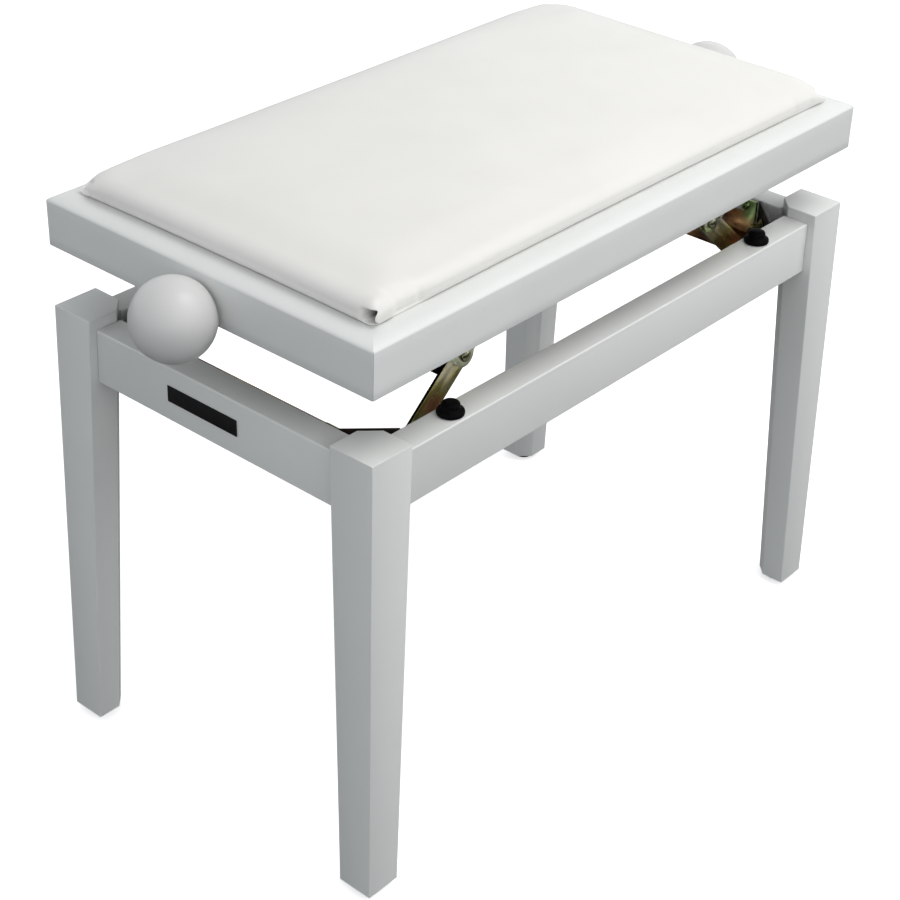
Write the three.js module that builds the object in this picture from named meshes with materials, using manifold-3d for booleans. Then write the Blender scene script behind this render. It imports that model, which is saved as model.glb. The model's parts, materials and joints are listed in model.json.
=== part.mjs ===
// Height-adjustable piano bench: a four-legged frame, and a cushioned seat carried on two lift linkages
// that a left- and right-hand threaded spindle opens and closes. Millimetres, +Z up, +X along the seat,
// front at -Y, origin on the floor under the middle of the bench.
import * as THREE from 'three';
import { mergeVertices } from 'three/addons/utils/BufferGeometryUtils.js';
import Module from 'manifold-3d';

const wasm = await Module();
wasm.setup();

// ---- Driving dimensions ----
const GAP = 0.3; // clearance between touching pieces
const SEAT_LENGTH = 560;
const SEAT_DEPTH = 317;

// Legs, rails and feet
const GLIDE_HEIGHT = 5;
const GLIDE_RADIUS = 10;
const LEG_TOP = 374;
const LEG_TOP_SIDE = 38.5;
const LEG_FOOT_SIDE = 30;
const LEG_SPLAY = 7; // how far the outer faces lean out at the foot
const LEG_CHAMFER = 12.5; // inner top corner
const RAIL_TOP = 365.5;
const RAIL_HEIGHT = 44;
const RAIL_THICKNESS = 23.5;
const RAIL_RECESS = 5.8; // behind the legs' outer faces
const BRACE_HEIGHT = 36;
const BRACE_REACH = 26; // from the rails' inner corner to the diagonal, along each rail
const BUMPER_X = 184;
const BUMPER_TOP = 375.5;
const SHEET = 2.5; // thickness of the pressed steel

// Bolts through the corner braces into the legs
const BOLT_RADIUS = 4;
const BOLT_DEPTH = 20; // into the leg
const BOLT_LENGTH_INSIDE = 14; // from the brace towards the middle of the bench
const BRACE_TO_LEG = 18; // along the bolt
const BOLT_WASHER_RADIUS = 10;
const BOLT_WASHER_HEIGHT = 1.6;
const BOLT_NUT_RADIUS = 7.5;
const BOLT_NUT_HEIGHT = 6.5;

// Blank plate on the left end rail
const PLATE_FROM_Y = -26;
const PLATE_TO_Y = 44;
const PLATE_FROM_Z = 338;
const PLATE_TO_Z = 351;
const PLATE_THICKNESS = 0.6;

// Seat
const SEAT_BOTTOM = 422.3;
const SEAT_TOP = 461.3;
const EDGE_ROUND = 4.4;
const MOULDING_WIDTH = 28;
const BOARD_THICKNESS = 12;
const CUSHION_LENGTH = 530;
const CUSHION_DEPTH = 289;
const CUSHION_EDGE = 13; // height at the rim
const CUSHION_CROWN = 23; // height in the middle

// Lift linkage: each lift arm runs from the base pivot to the nut bar, and the stay arm joins its middle to
// the seat directly above the base pivot, so the seat rises in a straight line
const ARM_HALF = 65; // pivot to pivot, on the stay arm and on each half of the lift arm
const BASE_PIVOT_X = 196;
const BASE_PIVOT_Z = 345.2;
const ARM_RISE = 43; // height of the middle pivot over the base pivot, as drawn
const ARM_WIDTH = 19;
const ARM_PLANE = 116; // inner face of the lift arms, from the middle of the bench
const BRIDGE_START = 43; // the web that joins a pair of lift arms, from the base pivot
const BRIDGE_END = 76;
const STAY_END = 12; // radius of the stay arm's seat end
const STAY_KNEE = 9; // radius at its knee end
const RIVET_RADIUS = 3;
const RIVET_HEAD = 4.8; // radius
const PIN_RADIUS = 4; // journals of the nut bar and plain ends of the spindle
const CLIP_RADIUS = 6.2;
const CLIP_THICKNESS = 1.5;
const BAR_HALF = 6; // nut bar, half of its square section
const NUT_HALF = 11; // block in the middle of the nut bar, half its height and depth
const NUT_HALF_LENGTH = 13;

// Pressings that carry the linkage
const EAR_HALF = 10; // radius of the ears' round ends
const EAR_MARGIN = 2; // sheet left beside an ear
const SEAT_FLANGE_HALF = 20; // flange that bears the spindle
const SEAT_FLANGE_INSET = 6; // from the end of the board
const SEAT_WINDOW_Y = 62; // middles of the two openings in the plate under the board
const SEAT_WINDOW_HALF = 26;
const SEAT_WINDOW_FROM = 14; // from the flange
const WEB_Z = 332; // underside of the pressing in the frame
const WEB_INNER_X = 214; // its inner edge between the ears
const WEB_CORNER_Y = 98; // where it widens towards the ears
const END_PLATE_TOP = 352;
const END_PLATE_HALF = 98.5;
const TAB_WIDTH = 12;
const TAB_TOP = 364;
const RAIL_FLANGE_TOP = 356;
const RAIL_FLANGE_LENGTH = 24;
const TAB_SCREW = [88.5, 358.5]; // screw holes in the end plate as [distance from the middle, height]
const PLATE_SCREW = [35, 343];
const SCREW_HOLE = 2.4; // radius

// Spindle and knobs
const THREAD_RADIUS = 5;
const THREAD_START = 55;
const THREAD_END = 158;
const NECK_RADIUS = 3.6; // between the two threads
const COLLAR_RADIUS = 8;
const COLLAR_WIDTH = 6;
const KNOB_RADIUS = 30;
const KNOB_X = 304.2;
const KNOB_FLAT = 22; // from the knob's middle to its flat inner face
const KNOB_BORE = 26; // depth, from the flat face
const KNOB_WASHER_RADIUS = 12;

// ---- Derived ----
const HALF_LENGTH = SEAT_LENGTH / 2;
const HALF_DEPTH = SEAT_DEPTH / 2;
const RAIL_INNER_X = HALF_LENGTH - RAIL_RECESS - RAIL_THICKNESS;
const RAIL_INNER_Y = HALF_DEPTH - RAIL_RECESS - RAIL_THICKNESS;
const LEG_TAPER = (LEG_TOP_SIDE - LEG_FOOT_SIDE + LEG_SPLAY) / (LEG_TOP - GLIDE_HEIGHT);
const ARM_ANGLE = Math.asin(ARM_RISE / ARM_HALF);
const KNEE_X = BASE_PIVOT_X - ARM_HALF * Math.cos(ARM_ANGLE);
const KNEE_Z = BASE_PIVOT_Z + ARM_RISE;
const NUT_X = BASE_PIVOT_X - 2 * ARM_HALF * Math.cos(ARM_ANGLE);
const SPINDLE_Z = BASE_PIVOT_Z + 2 * ARM_RISE;
const STAY_PLANE = ARM_PLANE + SHEET + GAP; // inner face of the stay arms and of the base pivot ears
const BOARD_BOTTOM = SEAT_TOP - BOARD_THICKNESS;
const RIVET_HOLE = RIVET_RADIUS + 0.35;
const PIN_HOLE = PIN_RADIUS + 0.35;

// ---- Materials ----
function finish(color, roughness, metalness) {
  return new THREE.MeshStandardMaterial({ color, roughness, metalness });
}

const PAINT = finish(0xe9eae8, 0.42, 0);
const VINYL = finish(0xf1efe9, 0.28, 0);
const ZINC = finish(0xa39a62, 0.35, 0.9);
const STEEL = finish(0x9a9c9e, 0.3, 1);
const BLACK_STEEL = finish(0x1b1b1c, 0.45, 0.6);
const RUBBER = finish(0x0d0d0e, 0.7, 0);
const PLASTIC = finish(0x141414, 0.5, 0);
const BOARD = finish(0xb79b73, 0.8, 0);

// ---- Geometry helpers ----
const bench = new THREE.Group();

function add(name, geometry, material) {
  const mesh = new THREE.Mesh(geometry, material);
  mesh.name = name;
  bench.add(mesh);
  return mesh;
}

function toSolid(geometry) {
  const bare = geometry.clone();
  bare.deleteAttribute('normal');
  bare.deleteAttribute('uv');
  const merged = mergeVertices(bare, 1e-4);
  const vertProperties = new Float32Array(merged.attributes.position.array);
  const triVerts = new Uint32Array(merged.index.array);
  return new wasm.Manifold(new wasm.Mesh({ numProp: 3, vertProperties, triVerts }));
}

function fromSolid(solid) {
  const mesh = solid.getMesh();
  const geometry = new THREE.BufferGeometry();
  geometry.setAttribute('position', new THREE.BufferAttribute(new Float32Array(mesh.vertProperties), 3));
  geometry.setIndex(new THREE.BufferAttribute(new Uint32Array(mesh.triVerts), 1));
  return geometry;
}

function join(...geometries) {
  return fromSolid(geometries.map(toSolid).reduce((all, next) => all.add(next)));
}

function cut(geometry, ...tools) {
  return fromSolid(tools.map(toSolid).reduce((left, tool) => left.subtract(tool), toSolid(geometry)));
}

function box(x0, x1, y0, y1, z0, z1) {
  const geometry = new THREE.BoxGeometry(Math.abs(x1 - x0), Math.abs(y1 - y0), Math.abs(z1 - z0));
  return geometry.translate((x0 + x1) / 2, (y0 + y1) / 2, (z0 + z1) / 2);
}

// Cylinder about the Y axis, from y0 to y1
function pinY(x, y0, y1, z, radius, facets = 16) {
  const geometry = new THREE.CylinderGeometry(radius, radius, Math.abs(y1 - y0), facets);
  return geometry.translate(x, (y0 + y1) / 2, z);
}

// Cylinder about the X axis, from x0 to x1
function pinX(x0, x1, y, z, radius, facets = 20) {
  const geometry = new THREE.CylinderGeometry(radius, radius, Math.abs(x1 - x0), facets);
  return geometry.rotateZ(Math.PI / 2).translate((x0 + x1) / 2, y, z);
}

// Solid of revolution about Z from [radius, height] points that start and end on the axis
function turned(profile, facets = 16) {
  const points = profile.map(([radius, height]) => new THREE.Vector2(radius, height));
  return new THREE.LatheGeometry(points, facets).rotateX(Math.PI / 2);
}

// A plate drawn in the XZ plane, from y0 to y1
function plateXZ(shape, y0, y1, curveSegments = 8) {
  const options = { depth: Math.abs(y1 - y0), bevelEnabled: false, curveSegments };
  const geometry = new THREE.ExtrudeGeometry(shape, options);
  return geometry.rotateX(Math.PI / 2).translate(0, Math.max(y0, y1), 0);
}

function polygon(points) {
  return new THREE.Shape(points.map(([x, y]) => new THREE.Vector2(x, y)));
}

// Outline round two circles on one line: radius r0 at u = 0 and r1 at u = length
function linkShape(length, r0, r1) {
  const lean = Math.acos((r0 - r1) / length);
  const shape = new THREE.Shape();
  shape.absarc(0, 0, r0, lean, 2 * Math.PI - lean, false);
  shape.absarc(length, 0, r1, -lean, lean, false);
  shape.closePath();
  return shape;
}

// Turns a link drawn along +X about its first pivot and moves that pivot to x, z
function placeLink(geometry, angle, x, z) {
  return geometry.rotateY(-angle).translate(x, 0, z);
}

const ends = [['left', -1], ['right', 1]];
const sides = [['front', -1], ['back', 1]];

// ---- Legs, feet and rails ----
function legGeometry(sx, sy) {
  const s = LEG_TOP_SIDE;
  const outline = [[0, 0], [s, 0], [s, s - LEG_CHAMFER], [s - LEG_CHAMFER, s], [0, s]];
  const shape = polygon(outline.map(([u, v]) => [-sx * u, -sy * v]));
  const height = LEG_TOP - GLIDE_HEIGHT;
  const geometry = new THREE.ExtrudeGeometry(shape, { depth: height, bevelEnabled: false });
  const position = geometry.attributes.position;
  for (let i = 0; i < position.count; i += 1) {
    const down = 1 - position.getZ(i) / height;
    const scale = 1 - down * (1 - LEG_FOOT_SIDE / LEG_TOP_SIDE);
    position.setX(i, position.getX(i) * scale + sx * (HALF_LENGTH + down * LEG_SPLAY));
    position.setY(i, position.getY(i) * scale + sy * (HALF_DEPTH + down * LEG_SPLAY));
  }
  return geometry.translate(0, 0, GLIDE_HEIGHT);
}

const BOLT_Z = RAIL_TOP - BRACE_HEIGHT / 2;
const BOLT_TIP_GAP = 4; // left free at the bottom of the bolt's hole

// A shape along the bolt's axis, +X running outwards from the corner brace, at 0, to the leg
function alongBolt(geometry, sx, sy) {
  const middleX = RAIL_INNER_X - GAP - BRACE_REACH / 2;
  const middleY = RAIL_INNER_Y - GAP - BRACE_REACH / 2;
  return geometry.rotateZ(Math.atan2(sy, sx)).translate(sx * middleX, sy * middleY, BOLT_Z);
}

function boltGeometry(sx, sy) {
  const tip = BRACE_TO_LEG + BOLT_DEPTH - BOLT_TIP_GAP;
  const washerFace = -(SHEET + GAP);
  const nutFace = washerFace - BOLT_WASHER_HEIGHT;
  const shank = pinX(-BOLT_LENGTH_INSIDE, tip, 0, 0, BOLT_RADIUS, 16);
  const washer = pinX(nutFace, washerFace, 0, 0, BOLT_WASHER_RADIUS, 24);
  const nut = pinX(nutFace - BOLT_NUT_HEIGHT, nutFace, 0, 0, BOLT_NUT_RADIUS, 6);
  return alongBolt(join(shank, washer, nut), sx, sy);
}

// Diagonal plate across the corner, its ends cut parallel to the two rails
function braceGeometry(sx, sy) {
  const x = RAIL_INNER_X - GAP;
  const y = RAIL_INNER_Y - GAP;
  const near = BRACE_REACH;
  const far = BRACE_REACH + SHEET * Math.SQRT2;
  const outline = [[x, y - near], [x - near, y], [x - far, y], [x, y - far]];
  const shape = polygon(outline.map(([u, v]) => [sx * u, sy * v]));
  const plate = new THREE.ExtrudeGeometry(shape, { depth: BRACE_HEIGHT, bevelEnabled: false });
  plate.translate(0, 0, RAIL_TOP - BRACE_HEIGHT);
  const through = 4 * SHEET;
  return cut(plate, alongBolt(pinX(-through, through, 0, 0, BOLT_RADIUS + GAP, 16), sx, sy));
}

function glideGeometry() {
  const top = GLIDE_HEIGHT - GAP;
  const rim = 1.2;
  return turned([[0, 0], [GLIDE_RADIUS - rim, 0], [GLIDE_RADIUS, rim], [GLIDE_RADIUS, top], [0, top]]);
}

for (const [side, sy] of sides) {
  for (const [end, sx] of ends) {
    const corner = `${side}_${end}`;
    const hole = pinX(SHEET, BRACE_TO_LEG + BOLT_DEPTH, 0, 0, BOLT_RADIUS + GAP, 16);
    add(`leg_${corner}`, cut(legGeometry(sx, sy), alongBolt(hole, sx, sy)), PAINT);
    add(`corner_brace_${corner}`, braceGeometry(sx, sy), BLACK_STEEL);
    add(`leg_bolt_${corner}`, boltGeometry(sx, sy), STEEL);
    const inset = LEG_FOOT_SIDE / 2 - LEG_SPLAY;
    add(`glide_${corner}`, glideGeometry(), PLASTIC)
      .position.set(sx * (HALF_LENGTH - inset), sy * (HALF_DEPTH - inset), 0);
    const railMiddle = RAIL_INNER_Y + RAIL_THICKNESS / 2;
    add(`bumper_${corner}`, bumperGeometry(), RUBBER)
      .position.set(sx * BUMPER_X, sy * railMiddle, RAIL_TOP + GAP);
  }
}

function bumperGeometry() {
  const top = BUMPER_TOP - RAIL_TOP - GAP;
  return turned([
    [0, 0], [9.6, 0], [10, 1], [10, 2.6], [9.2, 4], [7, 4.9], [6.6, 5.6], [6.5, top - 1.8],
    [5.2, top - 0.4], [3.6, top], [0, top],
  ]);
}

// Outline of a rail between two legs: its ends follow the legs' lean. Drawn with the height as y
function railShape(halfSpan) {
  const bottom = RAIL_TOP - RAIL_HEIGHT;
  const reach = (z) => halfSpan - LEG_TOP_SIDE + (LEG_TOP - z) * LEG_TAPER - GAP;
  const below = reach(bottom);
  const above = reach(RAIL_TOP);
  return polygon([[-below, bottom], [below, bottom], [above, RAIL_TOP], [-above, RAIL_TOP]]);
}

for (const [side, sy] of sides) {
  const rail = plateXZ(railShape(HALF_LENGTH), sy * RAIL_INNER_Y, sy * (RAIL_INNER_Y + RAIL_THICKNESS));
  add(`rail_${side}`, rail, PAINT);
}
for (const [end, sx] of ends) {
  const rail = plateXZ(railShape(HALF_DEPTH), sx * RAIL_INNER_X, sx * (RAIL_INNER_X + RAIL_THICKNESS));
  add(`rail_${end}`, rail.rotateZ(-Math.PI / 2), PAINT);
}

// Blank plate on the outside of the left end rail
const plateX = -(RAIL_INNER_X + RAIL_THICKNESS + GAP);
const blank = box(plateX - PLATE_THICKNESS, plateX, PLATE_FROM_Y, PLATE_TO_Y, PLATE_FROM_Z, PLATE_TO_Z);
add('name_plate', blank, PLASTIC);

// ---- Seat frame, board and cushion ----
// Section of the seat frame as [distance in from the outer face, height]
function mouldingShape() {
  const shape = new THREE.Shape();
  shape.moveTo(0, SEAT_BOTTOM + 1);
  shape.lineTo(1, SEAT_BOTTOM);
  shape.lineTo(MOULDING_WIDTH, SEAT_BOTTOM);
  shape.lineTo(MOULDING_WIDTH, SEAT_TOP);
  shape.lineTo(EDGE_ROUND, SEAT_TOP);
  shape.absarc(EDGE_ROUND, SEAT_TOP - EDGE_ROUND, EDGE_ROUND, Math.PI / 2, Math.PI, false);
  shape.closePath();
  return shape;
}

// One mitred length of the seat frame along X, with its outer face at y = -halfAcross
function mouldingGeometry(halfAlong, halfAcross) {
  const options = { depth: 2, bevelEnabled: false, curveSegments: 5 };
  const geometry = new THREE.ExtrudeGeometry(mouldingShape(), options).translate(0, 0, -1);
  const position = geometry.attributes.position;
  for (let i = 0; i < position.count; i += 1) {
    const inward = position.getX(i);
    const height = position.getY(i);
    const end = position.getZ(i);
    position.setXYZ(i, end * (halfAlong - inward - GAP), inward - halfAcross, height);
  }
  return geometry;
}

add('seat_frame_front', mouldingGeometry(HALF_LENGTH, HALF_DEPTH), PAINT);
add('seat_frame_back', mouldingGeometry(HALF_LENGTH, HALF_DEPTH).rotateZ(Math.PI), PAINT);
for (const [end, sx] of ends) {
  const length = mouldingGeometry(HALF_DEPTH, HALF_LENGTH).rotateZ(sx * Math.PI / 2);
  const inner = HALF_LENGTH - 2 * MOULDING_WIDTH;
  const hole = pinX(sx * inner, sx * (HALF_LENGTH + 10), 0, SPINDLE_Z, PIN_RADIUS + 4 * GAP);
  add(`seat_frame_${end}`, cut(length, hole), PAINT);
}

const boardX = HALF_LENGTH - MOULDING_WIDTH - GAP;
const boardY = HALF_DEPTH - MOULDING_WIDTH - GAP;
add('seat_board', box(-boardX, boardX, -boardY, boardY, BOARD_BOTTOM, SEAT_TOP), BOARD);

// A low pad with a crowned top: the height falls to the rim along a smooth curve
function cushionGeometry() {
  const geometry = new THREE.BoxGeometry(2, 2, 1, 14, 8, 1);
  const position = geometry.attributes.position;
  for (let i = 0; i < position.count; i += 1) {
    const u = position.getX(i);
    const v = position.getY(i);
    const dome = (1 - u ** 6) * (1 - v ** 6);
    const top = CUSHION_EDGE + (CUSHION_CROWN - CUSHION_EDGE) * Math.sqrt(dome);
    const height = position.getZ(i) > 0 ? top : 0;
    position.setXYZ(i, u * CUSHION_LENGTH / 2, v * CUSHION_DEPTH / 2, height);
  }
  return geometry.translate(0, 0, SEAT_TOP + GAP);
}

add('cushion', cushionGeometry(), VINYL);

// ---- Lift linkage ----
// Everything below is drawn for the left end, where the arms open towards +X, and mirrored for the right end
function mirrored(geometry) {
  const copy = geometry.clone();
  const position = copy.attributes.position;
  for (let i = 0; i < position.count; i += 1) {
    position.setX(i, -position.getX(i));
  }
  const count = copy.index ? copy.index.count : position.count;
  const index = Array.from({ length: count }, (_, i) => (copy.index ? copy.index.getX(i) : i));
  for (let i = 0; i < index.length; i += 3) {
    [index[i], index[i + 1]] = [index[i + 1], index[i]];
  }
  copy.setIndex(index);
  return copy;
}

const atEnd = (geometry, sx) => (sx < 0 ? geometry : mirrored(geometry));

// A pair of lift arms pressed from one sheet, joined by a web along part of their upper edges
function liftFrameGeometry() {
  const length = 2 * ARM_HALF;
  const radius = ARM_WIDTH / 2;
  const outer = ARM_PLANE + SHEET;
  const outline = linkShape(length, radius, radius);
  const arms = sides.map(([, sy]) => plateXZ(outline, sy * ARM_PLANE, sy * outer));
  const bridge = box(BRIDGE_START, BRIDGE_END, -outer, outer, radius - SHEET, radius);
  const holes = [
    pinY(0, -outer - 1, outer + 1, 0, RIVET_HOLE),
    pinY(ARM_HALF, -outer - 1, outer + 1, 0, RIVET_HOLE),
    pinY(length, -outer - 1, outer + 1, 0, PIN_HOLE),
  ];
  return placeLink(cut(join(...arms, bridge), ...holes), ARM_ANGLE, -BASE_PIVOT_X, BASE_PIVOT_Z);
}

function stayArmGeometry(sy) {
  const inner = sy * STAY_PLANE;
  const outer = sy * (STAY_PLANE + SHEET);
  const plate = plateXZ(linkShape(ARM_HALF, STAY_KNEE, STAY_END), inner, outer);
  const holes = [0, ARM_HALF].map((u) => pinY(u, inner - sy, outer + sy, 0, RIVET_HOLE));
  return placeLink(cut(plate, ...holes), Math.PI - ARM_ANGLE, -KNEE_X, KNEE_Z);
}

// Rivet through two plates, with a domed head outside and a flat tail inside
function rivetGeometry(sy, x, z) {
  const inside = ARM_PLANE - GAP;
  const outside = STAY_PLANE + SHEET + GAP;
  const profile = [
    [0, inside - 1.6], [RIVET_HEAD - 0.4, inside - 1.6], [RIVET_HEAD, inside], [RIVET_RADIUS, inside],
    [RIVET_RADIUS, outside], [RIVET_HEAD, outside], [RIVET_HEAD - 0.5, outside + 1.3],
    [RIVET_HEAD - 2, outside + 2.3], [0, outside + 2.7],
  ];
  return turned(profile).rotateX(-sy * Math.PI / 2).translate(x, 0, z);
}

// Bar across the bench between a pair of lift arms, with the spindle's nut in its middle
function nutBarGeometry() {
  const inner = ARM_PLANE - GAP;
  const outer = ARM_PLANE + SHEET + GAP;
  const shoulder = inner - 3;
  const bar = box(-BAR_HALF, BAR_HALF, -shoulder, shoulder, -BAR_HALF, BAR_HALF);
  const block = box(-NUT_HALF_LENGTH, NUT_HALF_LENGTH, -NUT_HALF, NUT_HALF, -NUT_HALF, NUT_HALF);
  const journal = pinY(0, -outer - 1, outer + 1, 0, PIN_RADIUS);
  const clips = sides.map(([, sy]) => pinY(0, sy * outer, sy * (outer + CLIP_THICKNESS), 0, CLIP_RADIUS));
  const thread = pinX(-2 * NUT_HALF_LENGTH, 2 * NUT_HALF_LENGTH, 0, 0, THREAD_RADIUS + 0.35);
  return cut(join(bar, block, journal, ...clips), thread).translate(-NUT_X, 0, SPINDLE_Z);
}

// Upright ear with a round end at the pivot, from the height z0 to the pivot at x, z
function earGeometry(x, z, z0, y0, y1) {
  const upward = z > z0;
  const shape = new THREE.Shape();
  shape.moveTo(x - EAR_HALF, z0);
  shape.lineTo(x - EAR_HALF, z);
  shape.absarc(x, z, EAR_HALF, Math.PI, 0, upward);
  shape.lineTo(x + EAR_HALF, z0);
  shape.closePath();
  return plateXZ(shape, y0, y1);
}

// Pressing under the seat board: a plate, an ear for each stay arm, and an end flange that bears the spindle
function seatBracketGeometry() {
  const top = BOARD_BOTTOM - GAP;
  const low = top - SHEET;
  const endX = -boardX + SEAT_FLANGE_INSET;
  const innerX = -BASE_PIVOT_X + EAR_HALF + EAR_MARGIN;
  const outerY = ARM_PLANE + SHEET;
  const half = SEAT_FLANGE_HALF;
  const plate = box(endX, innerX, -outerY, outerY, low, top);
  const flange = box(endX, endX + SHEET, -half, half, SEAT_BOTTOM - 1, top);
  const ears = sides.map(([, sy]) => (
    earGeometry(-BASE_PIVOT_X, SPINDLE_Z, top, sy * ARM_PLANE, sy * outerY)
  ));
  const holes = [
    pinY(-BASE_PIVOT_X, -2 * outerY, 2 * outerY, SPINDLE_Z, RIVET_HOLE),
    pinX(endX - SHEET, endX + 3 * SHEET, 0, SPINDLE_Z, PIN_RADIUS + 0.5),
  ];
  const windowX = [endX + SEAT_WINDOW_FROM, innerX - EAR_HALF - 3 * EAR_MARGIN];
  const windows = [-SEAT_WINDOW_Y, SEAT_WINDOW_Y].map((y) => (
    box(...windowX, y - SEAT_WINDOW_HALF, y + SEAT_WINDOW_HALF, low - 1, top + 1)
  ));
  return cut(join(plate, flange, ...ears), ...holes, ...windows);
}

// Pressing in the frame: a web round the corner braces, a plate on the end rail with a raised tab near
// each corner, ears for the lift arms, and flanges on the front and back rails
function baseBracketGeometry() {
  const railX = RAIL_INNER_X - GAP;
  const railY = RAIL_INNER_Y - GAP;
  const earX = BASE_PIVOT_X - EAR_HALF - EAR_MARGIN; // web's inner edge beside the ears
  const braceX = railX + END_PLATE_HALF - railY; // where the web's slanting edge meets the long rail
  const half = [
    [railX, END_PLATE_HALF], [braceX, railY], [earX, railY], [earX, WEB_CORNER_Y],
    [WEB_INNER_X, WEB_CORNER_Y],
  ];
  const back = half.map(([u, v]) => [-u, v]);
  const front = half.reverse().map(([u, v]) => [-u, -v]);
  const web = new THREE.ExtrudeGeometry(polygon([...back, ...front]), { depth: SHEET, bevelEnabled: false });
  const innerFace = -railX + SHEET;
  const pieces = [
    web.translate(0, 0, WEB_Z),
    box(-railX, innerFace, -END_PLATE_HALF, END_PLATE_HALF, WEB_Z, END_PLATE_TOP),
  ];
  const beyondEars = STAY_PLANE + 2 * SHEET;
  const holes = [pinY(-BASE_PIVOT_X, -beyondEars, beyondEars, BASE_PIVOT_Z, RIVET_HOLE)];
  for (const [, sy] of sides) {
    const tabY = sy * (END_PLATE_HALF - TAB_WIDTH);
    const flangeX = -earX - RAIL_FLANGE_LENGTH;
    const ear = [sy * STAY_PLANE, sy * (STAY_PLANE + SHEET)];
    pieces.push(box(-railX, innerFace, sy * END_PLATE_HALF, tabY, WEB_Z, TAB_TOP));
    pieces.push(earGeometry(-BASE_PIVOT_X, BASE_PIVOT_Z, WEB_Z, ...ear));
    pieces.push(box(flangeX, -earX, sy * (railY - SHEET), sy * railY, WEB_Z, RAIL_FLANGE_TOP));
    for (const [distance, height] of [TAB_SCREW, PLATE_SCREW]) {
      holes.push(pinX(-railX - SHEET, innerFace + SHEET, sy * distance, height, SCREW_HOLE, 12));
    }
  }
  return cut(join(...pieces), ...holes);
}

for (const [end, sx] of ends) {
  add(`base_bracket_${end}`, atEnd(baseBracketGeometry(), sx), ZINC);
  add(`lift_frame_${end}`, atEnd(liftFrameGeometry(), sx), ZINC);
  add(`seat_bracket_${end}`, atEnd(seatBracketGeometry(), sx), ZINC);
  add(`nut_bar_${end}`, atEnd(nutBarGeometry(), sx), STEEL);
  for (const [side, sy] of sides) {
    add(`stay_arm_${end}_${side}`, atEnd(stayArmGeometry(sy), sx), ZINC);
    add(`base_rivet_${end}_${side}`, atEnd(rivetGeometry(sy, -BASE_PIVOT_X, BASE_PIVOT_Z), sx), STEEL);
    add(`knee_rivet_${end}_${side}`, atEnd(rivetGeometry(sy, -KNEE_X, KNEE_Z), sx), STEEL);
    add(`seat_rivet_${end}_${side}`, atEnd(rivetGeometry(sy, -BASE_PIVOT_X, SPINDLE_Z), sx), STEEL);
  }
}

// ---- Spindle and knobs ----
const COLLAR_X = boardX - SEAT_FLANGE_INSET - SHEET - GAP; // outer face of the thrust collars

function spindleGeometry() {
  const tip = KNOB_X - KNOB_FLAT + KNOB_BORE - 1;
  const inside = COLLAR_X - COLLAR_WIDTH;
  const half = [
    [NECK_RADIUS, 0], [NECK_RADIUS, THREAD_START], [THREAD_RADIUS, THREAD_START + 1.4],
    [THREAD_RADIUS, THREAD_END], [PIN_RADIUS, THREAD_END + 1], [PIN_RADIUS, inside],
    [COLLAR_RADIUS, inside], [COLLAR_RADIUS, COLLAR_X], [PIN_RADIUS, COLLAR_X],
    [PIN_RADIUS, tip - 1], [PIN_RADIUS - 1, tip], [0, tip],
  ];
  const other = half.slice(1).reverse().map(([radius, along]) => [radius, -along]);
  return turned([...other, ...half.slice(1)]).rotateY(Math.PI / 2).translate(0, 0, SPINDLE_Z);
}

// Ball with a flat inner face and a blind threaded bore, drawn along +X
function knobGeometry() {
  const start = Math.acos(-KNOB_FLAT / KNOB_RADIUS);
  const steps = 12;
  const arc = Array.from({ length: steps + 1 }, (_, i) => start * (1 - i / steps));
  const ball = arc.map((angle) => [KNOB_RADIUS * Math.sin(angle), KNOB_RADIUS * Math.cos(angle)]);
  ball[steps][0] = 0;
  const bore = PIN_RADIUS + GAP;
  const depth = KNOB_BORE - KNOB_FLAT;
  const profile = [[0, depth], [bore, depth], [bore, -KNOB_FLAT], ...ball];
  return turned(profile, 24).rotateY(Math.PI / 2).translate(KNOB_X, 0, SPINDLE_Z);
}

function knobWasherGeometry() {
  const inner = -(HALF_LENGTH + GAP);
  const outer = -(KNOB_X - KNOB_FLAT - GAP);
  const hole = pinX(outer - 1, inner + 1, 0, SPINDLE_Z, PIN_RADIUS + GAP);
  return cut(pinX(outer, inner, 0, SPINDLE_Z, KNOB_WASHER_RADIUS), hole);
}

add('spindle', spindleGeometry(), STEEL);
for (const [end, sx] of ends) {
  add(`knob_${end}`, knobGeometry().rotateZ(sx < 0 ? Math.PI : 0), PAINT);
  add(`knob_washer_${end}`, atEnd(knobWasherGeometry(), sx), STEEL);
}

export default bench;
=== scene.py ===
"""Height-adjustable piano bench: satin white wood, a stuffed vinyl seat and a plated steel lift."""
import json
import math

import bmesh
import bpy
import numpy as np
from mathutils import Matrix, Vector
from mathutils.bvhtree import BVHTree


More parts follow.
